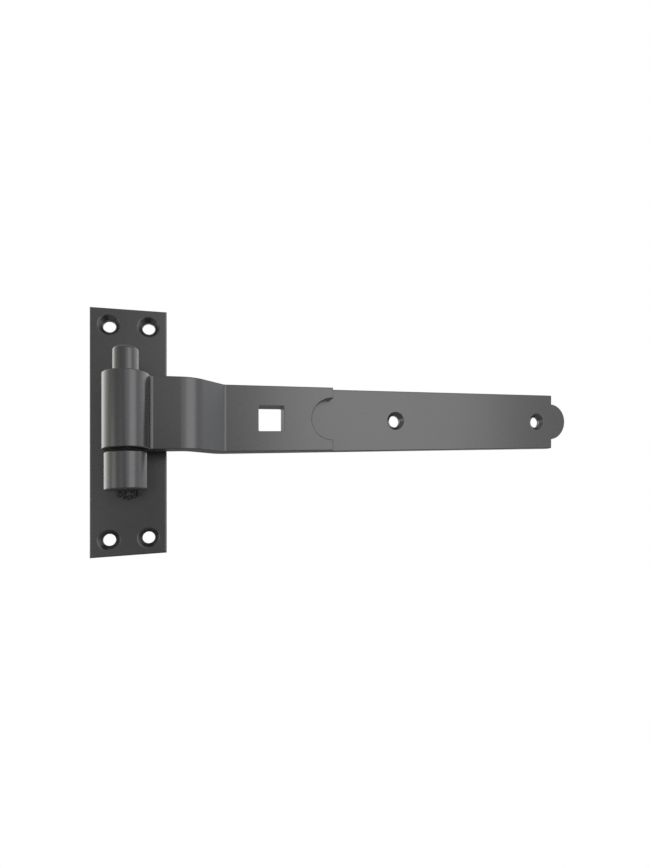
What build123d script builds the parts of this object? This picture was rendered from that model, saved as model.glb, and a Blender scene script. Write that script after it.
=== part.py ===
from build123d import *
import os
from math import cos, radians, sin, sqrt

# A cranked hook and band hinge for a gate or a heavy door.
# The hook is a screwed plate that carries an upright pin in a welded collar.
# The band is one steel strip folded round the pin, its two leaves laid together and cranked back
# towards the wall, so that its back face comes level with the back of the plate.
#
# Millimetres. The origin is the centre of the plate's back face. Z is up, along the pin.
# The wall is behind the plate, at positive Y. The band runs along positive X.

# Plate
plate_width = 40
plate_height = 140
plate_thickness = 5
plate_edge_chamfer = 0.4
plate_hole_side_inset = 9.7
plate_hole_end_inset = 9.5
plate_screw_d = 6.8
plate_countersink_d = 11.6

# Pin and collar
pin_d = 13
pin_above_band = 14
pin_end_round = 2
collar_d = 21
collar_height = 19.8
collar_edge_chamfer = 0.5
neck_width = 12
seat_d = 14.6
seat_height = 1.5

# Weld bead under the neck
weld_leg = 4.8
weld_end_rise = 2.8
weld_drop_count = 5
weld_drop_taper = 20
weld_drop_overlap = 0.4
weld_crown = -0.9
weld_ripple = 0.5

# Band
strip_thickness = 5
band_width = 40
band_bottom = -12.5
band_edge_chamfer = 0.35
reverse_bend_r = 2
crank_start = 27.6
crank_offset = 15
crank_angle = 40
crank_back_bend_r = 8
crank_front_bend_r = 2.5
band_length = 305
front_leaf_length = 119.2
tip_r = 13.2
tip_inset = 1
notch_inset = 0.7
bolt_square = 15.5
bolt_inset = 39.3
bolt_corner_round = 0.8
strap_screw_inner_inset = 45.4
strap_screw_outer_inset = 25.4
strap_screw_d = 8
strap_countersink_d = 12.2

# Clearances
pin_clearance = 0.05
leaf_gap = 0.4
seat_clearance = 0.2

countersink_angle = 90
cut_margin = 1

# Sizes that follow from the ones above
pin_r = pin_d / 2
eye_inner_r = pin_r + pin_clearance
eye_r = eye_inner_r + strip_thickness
strip_centre_r = eye_inner_r + strip_thickness / 2
leaf_pitch = strip_thickness + leaf_gap

pin_y = -(eye_r + crank_offset)
plate_front = -plate_thickness
band_top = band_bottom + band_width
band_middle = band_bottom + band_width / 2
seat_top = band_bottom - seat_clearance
collar_top = seat_top - seat_height
collar_bottom = collar_top - collar_height

plate_hole_pitch_x = plate_width - 2 * plate_hole_side_inset
plate_hole_pitch_z = plate_height - 2 * plate_hole_end_inset
back_leaf_shoulder = band_length - tip_r + tip_inset
bolt_x = front_leaf_length - bolt_inset
inner_screw_x = front_leaf_length + strap_screw_inner_inset
outer_screw_x = band_length - strap_screw_outer_inset
back_leaf_y = pin_y + strip_centre_r
front_leaf_y = back_leaf_y - leaf_pitch
crank_turn = radians(crank_angle)
crank_radii = crank_back_bend_r + crank_front_bend_r + strip_thickness + leaf_pitch
crank_slope = (crank_offset - crank_radii * (1 - cos(crank_turn))) / sin(crank_turn)
back_leaf_face = back_leaf_y + crank_offset - strip_thickness / 2
front_leaf_face = front_leaf_y + crank_offset - strip_thickness / 2


def cranked_leaf(start, inner_depth, end_x):
    """Draw one leaf's centre line from its start: straight, cranked back, straight again.

    inner_depth is the distance from the back leaf's back face to this centre line.
    """
    origin = Vector(start)
    level = Line(origin, (crank_start, origin.Y))
    first = JernArc(level @ 1, (1, 0), crank_back_bend_r + inner_depth, crank_angle)
    slope = PolarLine(first @ 1, crank_slope, direction=first % 1)
    second_r = crank_radii - crank_back_bend_r - inner_depth
    second = JernArc(slope @ 1, slope % 1, second_r, -crank_angle)
    Line(second @ 1, (end_x, (second @ 1).Y))


def countersunk_holes(hole_d, sink_d, depth):
    """Cut one countersunk screw hole at each current location."""
    CounterSinkHole(hole_d / 2, sink_d / 2, depth, countersink_angle)


# Plate: a flat bar with four screw holes, countersunk from the front.
with BuildPart() as back_plate:
    with BuildSketch(Plane.XZ) as plate_outline:
        Rectangle(plate_width, plate_height)
    extrude(amount=plate_thickness)
    plate_face = back_plate.faces().sort_by(Axis.Y)[0]
    chamfer(plate_face.edges(), plate_edge_chamfer)
    with Locations(Plane.XZ.offset(plate_thickness)):
        with GridLocations(plate_hole_pitch_x, plate_hole_pitch_z, 2, 2):
            countersunk_holes(plate_screw_d, plate_countersink_d, plate_thickness)

# Collar: a round boss with a flat neck that stands it off the plate, and a low seat for the band.
pin_plane = Plane((0, pin_y, collar_bottom))
with BuildPart() as pin_collar:
    with BuildSketch(pin_plane) as collar_outline:
        Circle(collar_d / 2)
        with Locations((0, (plate_front - pin_y) / 2)):
            Rectangle(neck_width, plate_front - pin_y)
    extrude(amount=collar_height)
    chamfer(pin_collar.edges().filter_by(GeomType.CIRCLE), collar_edge_chamfer)
    with BuildSketch(pin_plane.offset(collar_height)) as seat_outline:
        Circle(seat_d / 2)
    extrude(amount=seat_height)
    with Locations(pin_plane):
        Hole(pin_r)

# Pin: a plain round bar through the collar, rounded over at its free end.
pin_length = band_top + pin_above_band - collar_bottom
with BuildPart() as hook_pin:
    with BuildSketch(pin_plane) as pin_outline:
        Circle(pin_r)
    extrude(amount=pin_length)
    fillet(hook_pin.edges().sort_by(Axis.Z)[-1], pin_end_round)

# Weld: a fillet bead in the corner below the neck, laid as a row of overlapping drops that
# reach lowest in the middle.
weld_corner = Plane((0, plate_front, collar_bottom), x_dir=(0, -1, 0), z_dir=(1, 0, 0))
weld_core = weld_leg - weld_end_rise - weld_ripple
drop_width = neck_width / weld_drop_count
with BuildPart() as collar_weld:
    with BuildSketch(weld_corner) as core_section:
        with BuildLine() as core_line:
            Polyline((0, 0), (weld_core, 0), (0, weld_core), close=True)
        make_face()
    extrude(amount=neck_width / 2, both=True)
    for drop in range(weld_drop_count):
        drop_x = (drop + 0.5) * drop_width - neck_width / 2
        drop_reach = weld_leg - weld_end_rise * (2 * drop_x / neck_width) ** 2
        with BuildSketch(weld_corner.offset(drop_x)) as drop_section:
            with BuildLine() as drop_line:
                drop_toe = Line((-weld_ripple, -weld_ripple), (drop_reach, -weld_ripple))
                drop_foot = Line((-weld_ripple, -weld_ripple), (-weld_ripple, drop_reach))
                SagittaArc(drop_toe @ 1, drop_foot @ 1, weld_crown)
            make_face()
        extrude(amount=(drop_width + weld_drop_overlap) / 2, both=True, taper=weld_drop_taper)
    split(bisect_by=Plane.XZ.offset(plate_thickness), keep=Keep.TOP)
    split(bisect_by=Plane.XY.offset(collar_bottom), keep=Keep.BOTTOM)

# Band: one strip. It starts at the tip end, runs back to the pin, wraps round it, turns back on
# itself in a tight reverse bend and ends in the shorter front leaf.
reverse_centre_r = reverse_bend_r + strip_thickness / 2
reverse_y = front_leaf_y - pin_y - reverse_centre_r
reverse_x = sqrt((strip_centre_r + reverse_centre_r) ** 2 - reverse_y**2)
eye_share = strip_centre_r / (strip_centre_r + reverse_centre_r)
eye_exit = (reverse_x * eye_share, pin_y + reverse_y * eye_share)
back_leaf_plane = Plane.XZ.offset(-back_leaf_face)
front_leaf_plane = Plane.XZ.offset(-front_leaf_face)

with BuildPart() as band:
    with BuildSketch(Plane.XY.offset(band_bottom)) as strip_section:
        with BuildLine() as strip_line:
            cranked_leaf((0, back_leaf_y), strip_thickness / 2, back_leaf_shoulder)
            ThreePointArc((0, back_leaf_y), (-strip_centre_r, pin_y), (0, pin_y - strip_centre_r))
            front_of_eye = TangentArc((0, pin_y - strip_centre_r), eye_exit, tangent=(1, 0))
            reverse = TangentArc(eye_exit, (reverse_x, front_leaf_y), tangent=front_of_eye % 1)
            cranked_leaf(reverse @ 1, strip_thickness / 2 + leaf_pitch, front_leaf_length)
        trace(line_width=strip_thickness)
    extrude(amount=band_width)
    for cut_edge in (band.faces().sort_by(Axis.Z)[0], band.faces().sort_by(Axis.Z)[-1]):
        chamfer(cut_edge.edges(), band_edge_chamfer)
    # rounded tip, centred just inside the end of the strip
    with BuildSketch(back_leaf_plane) as tip_outline:
        with Locations((back_leaf_shoulder - tip_inset, band_middle)):
            Circle(tip_r)
    extrude(amount=-strip_thickness)
    # the front leaf ends in a hollow of the same curve
    with BuildSketch(front_leaf_plane.offset(cut_margin)) as notch_outline:
        with Locations((front_leaf_length - notch_inset, band_middle)):
            Circle(tip_r)
    extrude(amount=-(cut_margin + strip_thickness + leaf_gap / 2), mode=Mode.SUBTRACT)
    front_leaf_front = band.faces().sort_by_distance((bolt_x, front_leaf_face, band_middle))[0]
    chamfer(front_leaf_front.edges().sort_by(Axis.X)[-3:], band_edge_chamfer)
    # square hole for the neck of a coach bolt, through both leaves
    with BuildSketch(front_leaf_plane.offset(cut_margin)) as bolt_outline:
        with Locations((bolt_x, band_middle)):
            RectangleRounded(bolt_square, bolt_square, bolt_corner_round)
    extrude(amount=-(strip_thickness + leaf_pitch + 2 * cut_margin), mode=Mode.SUBTRACT)
    with Locations(back_leaf_plane):
        with Locations((inner_screw_x, band_middle), (outer_screw_x, band_middle)):
            countersunk_holes(strap_screw_d, strap_countersink_d, strip_thickness)

band.part.label = "band"
back_plate.part.label = "back_plate"
pin_collar.part.label = "pin_collar"
hook_pin.part.label = "hook_pin"
collar_weld.part.label = "collar_weld"

os.makedirs("parts", exist_ok=True)
export_step(back_plate.part, "parts/back_plate.step")
export_step(pin_collar.part, "parts/pin_collar.step")
export_step(hook_pin.part, "parts/hook_pin.step")
export_step(collar_weld.part, "parts/collar_weld.step")
export_step(band.part, "parts/band.step")
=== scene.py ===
import math

import bmesh
import bpy
from bpy.props import FloatProperty, FloatVectorProperty, PointerProperty
from mathutils import Matrix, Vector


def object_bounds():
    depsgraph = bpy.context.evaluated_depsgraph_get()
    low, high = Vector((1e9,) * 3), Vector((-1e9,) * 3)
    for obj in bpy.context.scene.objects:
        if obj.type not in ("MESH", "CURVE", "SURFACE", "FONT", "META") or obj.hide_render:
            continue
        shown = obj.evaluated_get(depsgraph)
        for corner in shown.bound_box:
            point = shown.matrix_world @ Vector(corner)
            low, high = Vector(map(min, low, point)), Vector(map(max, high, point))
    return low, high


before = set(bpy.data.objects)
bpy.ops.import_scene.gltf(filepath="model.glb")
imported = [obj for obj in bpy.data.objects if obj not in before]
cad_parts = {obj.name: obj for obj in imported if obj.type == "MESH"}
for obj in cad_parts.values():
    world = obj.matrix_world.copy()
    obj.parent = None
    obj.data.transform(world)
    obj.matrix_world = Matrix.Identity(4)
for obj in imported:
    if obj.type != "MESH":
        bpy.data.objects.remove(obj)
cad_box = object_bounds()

bl_info = {
    "name": "Hook and Band Hinge Dressing",
    "version": (1, 0, 0),
    "blender": (4, 5, 0),
    "location": "View3D > Sidebar > Hinge",
    "description": "Finishes a black cranked hook and band gate hinge and sets its studio",
    "category": "Object",
}

WHITE = (1.0, 1.0, 1.0, 1.0)
# the Mix node's colour sockets, by number, because others of its sockets have the same names
MIX_FIRST, MIX_SECOND, MIX_RESULT = 6, 7, 2

# the collar's top, where its low seat for the band begins
SEAT_FOOT = -0.01415
# painted shade: the near-black colour painted on the collar above its seat, where the closed joint
# between the collar and the band lies in shade
JOINT_PAINTED_SHADE = (0.002, 0.002, 0.002, 1.0)

# the coating's patterns: how fine the orange peel, the slow drift and the mottle are, per metre
PEEL_SCALE, DRIFT_SCALE, MOTTLE_SCALE = 430.0, 45.0, 240.0
PEEL_DEPTH = 0.0004
# how much the drift and the mottle change its roughness, and their shares in its colour
DRIFT_ROUGHNESS, MOTTLE_ROUGHNESS = 0.06, 0.03
DRIFT_SHARE, MOTTLE_SHARE = 0.3, 0.7
COATING_IOR = 1.8
EDGE_SAMPLES = 8

# the weld's patterns: its lumps and its pits, per metre, and the pit values at which a spatter bead,
# with its painted glint, begins and is full
LUMP_SCALE, PIT_SCALE = 620.0, 1500.0
LUMP_DEPTH = 0.0008
PIT_SHARE = 0.5
GLINT_BEAD_FROM, GLINT_BEAD_FULL = 0.56, 0.62
WELD_ROUGHNESS, BEAD_ROUGHNESS = 0.8, 0.3

# the light tent's cloth all round, by bearing in degrees: 0 is the camera's side and 90 is the side to
# which the band reaches; then its brightness low down and higher up, and its tint
TENT = (
    (-180, 0.12, 0.60, (1.00, 1.00, 0.99)),
    (-164, 0.20, 0.60, (1.00, 1.00, 0.99)),
    (-150, 1.40, 1.60, (1.00, 1.00, 0.99)),
    (-134, 2.90, 2.90, (1.00, 1.01, 0.97)),
    (-118, 2.50, 2.60, (1.00, 1.01, 0.96)),
    (-97, 1.35, 1.40, (1.00, 1.02, 0.94)),
    (-78, 0.70, 0.75, (1.00, 1.02, 0.94)),
    (-62, 2.30, 0.60, (1.00, 1.02, 0.94)),
    (-40, 0.55, 0.52, (1.00, 1.01, 0.97)),
    (-15, 1.15, 0.60, (1.00, 1.00, 1.00)),
    (-9, 0.95, 0.52, (1.00, 1.00, 1.00)),
    (-3, 0.03, 0.28, (1.00, 1.00, 1.00)),
    (1, 0.08, 1.48, (0.99, 0.99, 1.02)),
    (5, 0.85, 1.42, (0.99, 0.99, 1.02)),
    (14, 1.05, 1.15, (0.99, 0.99, 1.02)),
    (25, 0.95, 1.00, (0.99, 0.99, 1.02)),
    (40, 0.97, 1.02, (0.99, 0.99, 1.02)),
    (60, 0.85, 0.90, (0.98, 0.99, 1.03)),
    (84, 1.15, 1.30, (0.98, 0.99, 1.03)),
    (100, 1.40, 1.90, (0.98, 0.99, 1.03)),
    (113, 1.00, 1.70, (0.98, 0.99, 1.02)),
    (130, 0.70, 2.10, (1.00, 1.00, 1.01)),
    (150, 0.60, 1.30, (1.00, 1.00, 1.00)),
    (165, 0.20, 0.60, (1.00, 1.00, 0.99)),
    (180, 0.12, 0.60, (1.00, 1.00, 0.99)),
)
LOW_RING, HIGH_RING = 1, 2
TENT_TOP = max(max(row[LOW_RING], row[HIGH_RING]) for row in TENT)
# the heights, in degrees above level, over which the low ring gives way to the high one, and the
# high one to the roof
RING_HEIGHTS = (3, 14)
ROOF_HEIGHTS = (26, 48)


class StageSettings(bpy.types.PropertyGroup):
    """The studio round the hinge."""

    floor_drop: FloatProperty(
        name="Floor drop", description="How far below the plate the floor lies",
        default=0.25, min=0.0, subtype="DISTANCE", unit="LENGTH",
    )
    floor_size: FloatProperty(
        name="Floor size", description="Length of the floor's sides",
        default=2.4, min=0.5, subtype="DISTANCE", unit="LENGTH",
    )
    floor_shade: FloatProperty(
        name="Floor shade", description="Grey of the floor as the hinge is lit by it",
        default=0.42, min=0.0, max=1.0,
    )
    tent_level: FloatProperty(
        name="Tent light", description="Brightness of the light tent round the hinge",
        default=1.0, min=0.0,
    )
    roof_level: FloatProperty(
        name="Roof light", description="Brightness of the tent's roof, beside its cloth's table",
        default=0.7, min=0.0,
    )
    panel_level: FloatProperty(
        name="Panel light", description="Brightness of the soft panel in front of the band",
        default=1.28, min=0.0,
    )
    panel_place: FloatVectorProperty(
        name="Panel place", description="Centre of the soft panel",
        default=(0.335, -0.41, 0.08), subtype="TRANSLATION", unit="LENGTH",
    )
    panel_size: FloatVectorProperty(
        name="Panel size", description="Width and height of the soft panel",
        default=(0.37, 0.50), size=2, min=0.01, unit="LENGTH",
    )


class CameraSettings(bpy.types.PropertyGroup):
    """Where the camera stands, as in the photograph."""

    place: FloatVectorProperty(
        name="Place", description="The camera's place in the hinge's own frame",
        default=(0.02380, -0.33292, -0.05402), subtype="TRANSLATION", unit="LENGTH",
    )
    turn: FloatProperty(
        name="Turn", description="How far the camera is turned to the right",
        default=math.radians(20.092), subtype="ANGLE", unit="ROTATION",
    )
    lens: FloatProperty(
        name="Lens", description="Focal length for a 36 mm long side",
        default=21.851, min=1.0, unit="CAMERA",
    )
    shift: FloatVectorProperty(
        name="Shift", description="Lens shift across and up, as a share of the long side",
        default=(-0.0480, 0.0916), size=2,
    )
    lean: FloatProperty(
        name="Lean", description="How much the picture rises towards the right",
        default=0.0583,
    )


class CoatingSettings(bpy.types.PropertyGroup):
    """The satin black coating on the plate, pin, collar and band."""

    colour: FloatVectorProperty(
        name="Colour", description="Colour of the coating",
        default=(0.010, 0.010, 0.0104), size=3, subtype="COLOR", min=0.0, max=1.0,
    )
    roughness: FloatProperty(
        name="Roughness", description="Roughness of the coating", default=0.27, min=0.0, max=1.0,
    )
    unevenness: FloatProperty(
        name="Unevenness", description="How much lighter the thin places of the coating are",
        default=1.6, min=1.0,
    )
    peel: FloatProperty(
        name="Orange peel", description="Strength of the coating's fine waviness",
        default=0.02, min=0.0, max=1.0, subtype="FACTOR",
    )
    edge_radius: FloatProperty(
        name="Edge radius", description="How far the coating rounds over the steel's sharp edges",
        default=0.0006, min=0.0, subtype="DISTANCE", unit="LENGTH",
    )
    plate_edge_radius: FloatProperty(
        name="Plate edge radius", description="How far the coating rounds over the plate's edges",
        default=0.001, min=0.0, subtype="DISTANCE", unit="LENGTH",
    )


class WeldSettings(bpy.types.PropertyGroup):
    """The rough bead under the collar."""

    colour: FloatVectorProperty(
        name="Colour", description="Colour of the coated bead",
        default=(0.012, 0.012, 0.012), size=3, subtype="COLOR", min=0.0, max=1.0,
    )
    # painted glints: the spatter beads' light grey stands in for the highlights that catch on them
    bead_glint_colour: FloatVectorProperty(
        name="Spatter colour", description="Colour of the small beads of spatter on it",
        default=(0.22, 0.22, 0.22), size=3, subtype="COLOR", min=0.0, max=1.0,
    )
    lumps: FloatProperty(
        name="Lumps", description="Strength of the bead's lumps",
        default=0.9, min=0.0, max=1.0, subtype="FACTOR",
    )


class Socket:
    """One output of a shader node, with the arithmetic that the finishes use."""

    def __init__(self, tree, link):
        self.tree = tree
        self.link = link

    def node(self, kind, settings=None, **inputs):
        """Add a node to this socket's tree and return its first output."""
        return add_node(self.tree, kind, settings, **inputs)

    def _maths(self, operation, first, second):
        return add_node(self.tree, "ShaderNodeMath", {"operation": operation}, inputs=(first, second))

    def __add__(self, other):
        return self._maths("ADD", self, other)

    def __radd__(self, other):
        return self._maths("ADD", other, self)

    def __sub__(self, other):
        return self._maths("SUBTRACT", self, other)

    def __rsub__(self, other):
        return self._maths("SUBTRACT", other, self)

    def __mul__(self, other):
        return self._maths("MULTIPLY", self, other)

    def __rmul__(self, other):
        return self._maths("MULTIPLY", other, self)


def add_node(tree, kind, settings=None, inputs=(), output=0, **named):
    """Add one node to a tree, with its settings first and then its sockets' values or links."""
    node = tree.nodes.new(kind)
    for key, value in (settings or {}).items():
        if key == "stops":
            for place, _ in value[1:-1]:
                node.color_ramp.elements.new(place)
            for stop, (_, colour) in zip(node.color_ramp.elements, value):
                stop.color = (*colour, 1.0)
        elif key == "interpolation":
            node.color_ramp.interpolation = value
        else:
            setattr(node, key, value)
    for key, value in [*enumerate(inputs), *((k.replace("_", " "), v) for k, v in named.items())]:
        if isinstance(value, Socket):
            tree.links.new(value.link, node.inputs[key])
        else:
            node.inputs[key].default_value = value
    return Socket(tree, node.outputs[output])


def split(vector):
    """The three parts of a vector socket."""
    node = vector.node("ShaderNodeSeparateXYZ", inputs=(vector,)).link.node
    return [Socket(vector.tree, part) for part in node.outputs]


def mixed(share, first, second):
    """A colour that goes from the first to the second as the share goes from 0 to 1."""
    node = share.node("ShaderNodeMix", {"data_type": "RGBA"}, inputs=(share,)).link.node
    for number, value in ((MIX_FIRST, first), (MIX_SECOND, second)):
        if isinstance(value, Socket):
            share.tree.links.new(value.link, node.inputs[number])
        else:
            node.inputs[number].default_value = value
    return Socket(share.tree, node.outputs[MIX_RESULT])


def smooth_step(value, start, end):
    """A socket that eases from 0 to 1 while the value goes from the start to the end."""
    return value.node(
        "ShaderNodeMapRange", {"interpolation_type": "SMOOTHSTEP"},
        Value=value, From_Min=start, From_Max=end,
    )


def new_material(name):
    """A material with a Principled shader and nothing else; returns it, its tree and the shader."""
    material = bpy.data.materials.new(name)
    material.use_nodes = True
    tree = material.node_tree
    shader = tree.nodes["Principled BSDF"]
    return material, tree, shader


def coating_material(name, settings, edge_radius, painted_shade_above=None):
    """Satin black powder coating with a fine orange peel and a faint unevenness.

    edge_radius is how far the coating rounds over the piece's edges.
    Above the height given last, the piece is painted near black and made fully rough: painted shade
    inside the closed joint.
    """
    material, tree, shader = new_material(name)
    place = add_node(tree, "ShaderNodeTexCoord", output="Object")
    peel = place.node("ShaderNodeTexNoise", Vector=place, Scale=PEEL_SCALE, Detail=1.0)
    drift = place.node("ShaderNodeTexNoise", Vector=place, Scale=DRIFT_SCALE, Detail=3.0)
    mottle = place.node(
        "ShaderNodeTexNoise", Vector=place, Scale=MOTTLE_SCALE, Detail=3.0, Roughness=0.6,
    )
    roughness = settings.roughness + (drift - 0.5) * DRIFT_ROUGHNESS + (mottle - 0.5) * MOTTLE_ROUGHNESS
    plain = (*settings.colour, 1.0)
    worn = (*[part * settings.unevenness for part in settings.colour], 1.0)
    colour = mixed(mottle * MOTTLE_SHARE + drift * DRIFT_SHARE, plain, worn)
    # painted shade: above the given height the collar is painted near black and made fully rough, for
    # the shaded inside of the joint
    if painted_shade_above is not None:
        height = split(place)[2]
        in_painted_shade = place.node("ShaderNodeMath", {"operation": "GREATER_THAN"}, inputs=(height, painted_shade_above))
        colour = mixed(in_painted_shade, colour, JOINT_PAINTED_SHADE)
        roughness = roughness + in_painted_shade * (1.0 - roughness)
    soft_edge = place.node("ShaderNodeBevel", {"samples": EDGE_SAMPLES}, Radius=edge_radius)
    bump = place.node(
        "ShaderNodeBump", Height=peel, Strength=settings.peel, Distance=PEEL_DEPTH, Normal=soft_edge,
    )
    tree.links.new(colour.link, shader.inputs["Base Color"])
    tree.links.new(roughness.link, shader.inputs["Roughness"])
    tree.links.new(bump.link, shader.inputs["Normal"])
    shader.inputs["IOR"].default_value = COATING_IOR
    return material


def weld_material(name, settings):
    """Black coating over a lumpy weld, dull in its hollows, with a few smooth spatter beads whose light
    grey is painted glint.
    """
    material, tree, shader = new_material(name)
    place = add_node(tree, "ShaderNodeTexCoord", output="Object")
    lumps = place.node(
        "ShaderNodeTexVoronoi", {"feature": "SMOOTH_F1"}, Vector=place, Scale=LUMP_SCALE,
    )
    pits = place.node("ShaderNodeTexNoise", Vector=place, Scale=PIT_SCALE, Detail=4.0, Roughness=0.7)
    bead_and_glint = place.node("ShaderNodeMapRange", Value=pits, From_Min=GLINT_BEAD_FROM, From_Max=GLINT_BEAD_FULL)
    # painted glints: the beads are made glossier and are painted light grey for the highlights on them
    colour = mixed(bead_and_glint, (*settings.colour, 1.0), (*settings.bead_glint_colour, 1.0))
    roughness = WELD_ROUGHNESS - bead_and_glint * (WELD_ROUGHNESS - BEAD_ROUGHNESS)
    bump = place.node(
        "ShaderNodeBump", Height=pits * PIT_SHARE - lumps, Strength=settings.lumps, Distance=LUMP_DEPTH,
    )
    tree.links.new(colour.link, shader.inputs["Base Color"])
    tree.links.new(roughness.link, shader.inputs["Roughness"])
    tree.links.new(bump.link, shader.inputs["Normal"])
    return material


def floor_material(name, shade):
    """A plain grey floor as the hinge is lit by it, which the camera sees as white."""
    material, tree, shader = new_material(name)
    shader.inputs["Base Color"].default_value = (shade, shade, shade, 1.0)
    shader.inputs["Roughness"].default_value = 0.9
    seen = add_node(tree, "ShaderNodeLightPath", output="Is Camera Ray")
    white = add_node(tree, "ShaderNodeEmission", Color=WHITE, Strength=1.0)
    mix = add_node(tree, "ShaderNodeMixShader", inputs=(seen, Socket(tree, shader.outputs[0]), white))
    tree.links.new(mix.link, tree.nodes["Material Output"].inputs["Surface"])
    return material


def paint(node_name, material):
    """Give a node of the frame its finish."""
    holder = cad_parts[node_name]
    for slot in holder.material_slots:
        slot.material = material


def tent_stops(column):
    """One ring of the tent's cloth as a colour ramp's stops, each a place and a colour."""
    return [(row[0] / 360.0 + 0.5, [row[column] / TENT_TOP * part for part in row[3]]) for row in TENT]


def height_limits(degrees):
    """Two heights above level as the upward part of a direction."""
    return [math.sin(math.radians(angle)) for angle in degrees]


def add_floor(scene, stage):
    """The floor, some way below the hinge; returns it."""
    low, _ = cad_box
    mesh = bpy.data.meshes.new("studio_floor")
    shape = bmesh.new()
    bmesh.ops.create_grid(shape, x_segments=1, y_segments=1, size=stage.floor_size / 2.0)
    bmesh.ops.translate(shape, verts=shape.verts, vec=(0, 0, low[2] - stage.floor_drop))
    shape.to_mesh(mesh)
    shape.free()
    mesh.materials.append(floor_material("floor_white", stage.floor_shade))
    floor = bpy.data.objects.new("studio_floor", mesh)
    scene.collection.objects.link(floor)
    return floor


def add_tent(scene, stage):
    """The light tent, as the world. The camera sees plain white in its place."""
    world = bpy.data.worlds.new("light_tent")
    scene.world = world
    world.use_nodes = True
    tree = world.node_tree
    seen = add_node(tree, "ShaderNodeLightPath", output="Is Camera Ray")
    across, ahead, up = split(add_node(tree, "ShaderNodeTexCoord", output="Generated"))
    bearing = add_node(tree, "ShaderNodeMath", {"operation": "ARCTAN2"}, inputs=(across, 0.0 - ahead))
    share = bearing * (0.5 / math.pi) + 0.5
    low_ring, high_ring = (
        share.node("ShaderNodeValToRGB", {"interpolation": "EASE", "stops": tent_stops(ring)}, Fac=share)
        for ring in (LOW_RING, HIGH_RING)
    )
    walls = mixed(smooth_step(up, *height_limits(RING_HEIGHTS)), low_ring, high_ring)
    roof_shade = stage.roof_level / TENT_TOP
    roof_share = smooth_step(up, *height_limits(ROOF_HEIGHTS))
    cloth = mixed(roof_share, walls, (roof_shade, roof_shade, roof_shade, 1.0))
    full = TENT_TOP * stage.tent_level
    back = tree.nodes["Background"]
    tree.links.new(mixed(seen, cloth, WHITE).link, back.inputs["Color"])
    tree.links.new((seen * (1.0 - full) + full).link, back.inputs["Strength"])


def add_panel(scene, stage):
    """A soft panel in front of the band, parallel to it."""
    light = bpy.data.lights.new("soft_panel", "AREA")
    light.shape = "RECTANGLE"
    light.size, light.size_y = stage.panel_size
    light.energy = stage.panel_level * math.pi * light.size * light.size_y
    panel = bpy.data.objects.new("soft_panel", light)
    panel.location = stage.panel_place
    panel.rotation_euler = (math.radians(90.0), 0.0, 0.0)
    panel.visible_camera = False
    scene.collection.objects.link(panel)


def add_camera(scene, view, floor):
    """The camera at the photograph's place. Its lean is a shear, so it sits in the parent's matrix."""
    lens = bpy.data.cameras.new("photo_camera")
    lens.lens = view.lens
    lens.sensor_width = 36.0
    lens.shift_x, lens.shift_y = view.shift
    lens.clip_start = 0.01
    camera = bpy.data.objects.new("photo_camera", lens)
    scene.collection.objects.link(camera)
    turned = Matrix.Rotation(-view.turn, 4, "Z") @ Matrix.Rotation(math.radians(90.0), 4, "X")
    local = Matrix.Translation(view.place) @ turned
    lean = Matrix.Identity(4)
    lean[1][0] = -view.lean
    camera.matrix_basis = local
    camera.parent = floor
    camera.matrix_parent_inverse = local @ lean @ local.inverted()
    scene.camera = camera


class HINGE_OT_stage(bpy.types.Operator):
    """Set the floor, the light and the camera"""

    bl_idname = "hinge.stage"
    bl_label = "Set the stage"

    def execute(self, context):
        scene = context.scene
        scene.view_settings.view_transform = "Standard"
        floor = add_floor(scene, scene.hinge_stage)
        add_tent(scene, scene.hinge_stage)
        add_panel(scene, scene.hinge_stage)
        add_camera(scene, scene.hinge_camera, floor)
        return {"FINISHED"}


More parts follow.
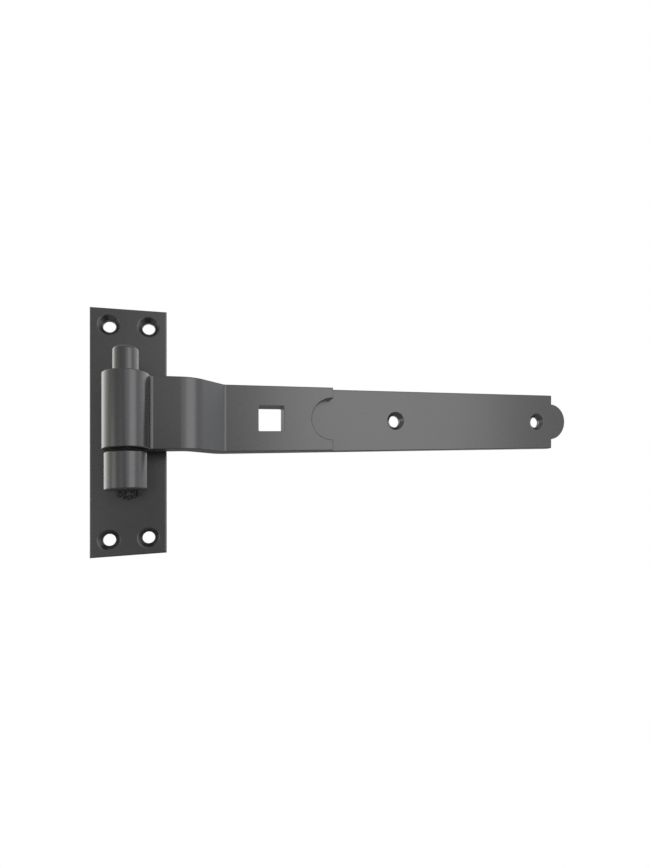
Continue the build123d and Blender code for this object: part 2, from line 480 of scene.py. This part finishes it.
class HINGE_OT_hook(bpy.types.Operator):
    """Finish the plate, the collar and the pin"""

    bl_idname = "hinge.hook"
    bl_label = "Finish the hook"

    def execute(self, context):
        coating = context.scene.hinge_coating
        edge = coating.edge_radius
        paint("back_plate", coating_material("plate_coating", coating, coating.plate_edge_radius))
        paint("hook_pin", coating_material("pin_coating", coating, edge))
        paint("pin_collar", coating_material("collar_coating", coating, edge, painted_shade_above=SEAT_FOOT))
        return {"FINISHED"}


class HINGE_OT_weld(bpy.types.Operator):
    """Finish the weld bead under the collar"""

    bl_idname = "hinge.weld"
    bl_label = "Finish the weld"

    def execute(self, context):
        paint("collar_weld", weld_material("weld_coating", context.scene.hinge_weld))
        return {"FINISHED"}


class HINGE_OT_band(bpy.types.Operator):
    """Finish the folded band"""

    bl_idname = "hinge.band"
    bl_label = "Finish the band"

    def execute(self, context):
        coating = context.scene.hinge_coating
        paint("band", coating_material("band_coating", coating, coating.edge_radius))
        return {"FINISHED"}


OPERATORS = (HINGE_OT_stage, HINGE_OT_hook, HINGE_OT_weld, HINGE_OT_band)
SETTINGS = {
    "hinge_stage": StageSettings,
    "hinge_camera": CameraSettings,
    "hinge_coating": CoatingSettings,
    "hinge_weld": WeldSettings,
}


class HINGE_PT_panel(bpy.types.Panel):
    """Lists the hinge's operators and settings."""

    bl_idname = "HINGE_PT_panel"
    bl_label = "Hinge"
    bl_space_type = "VIEW_3D"
    bl_region_type = "UI"
    bl_category = "Hinge"

    def draw(self, context):
        for operator in OPERATORS:
            self.layout.operator(operator.bl_idname)
        for name, group in SETTINGS.items():
            box = self.layout.box()
            for setting in group.__annotations__:
                box.prop(getattr(context.scene, name), setting)


CLASSES = (*SETTINGS.values(), *OPERATORS, HINGE_PT_panel)


def register():
    for cls in CLASSES:
        bpy.utils.register_class(cls)
    for name, group in SETTINGS.items():
        setattr(bpy.types.Scene, name, PointerProperty(type=group))


def unregister():
    for name in SETTINGS:
        delattr(bpy.types.Scene, name)
    for cls in reversed(CLASSES):
        bpy.utils.unregister_class(cls)


def main():
    register()
    bpy.ops.hinge.stage()
    bpy.ops.hinge.hook()
    bpy.ops.hinge.weld()
    bpy.ops.hinge.band()


if __name__ == "__main__":
    main()
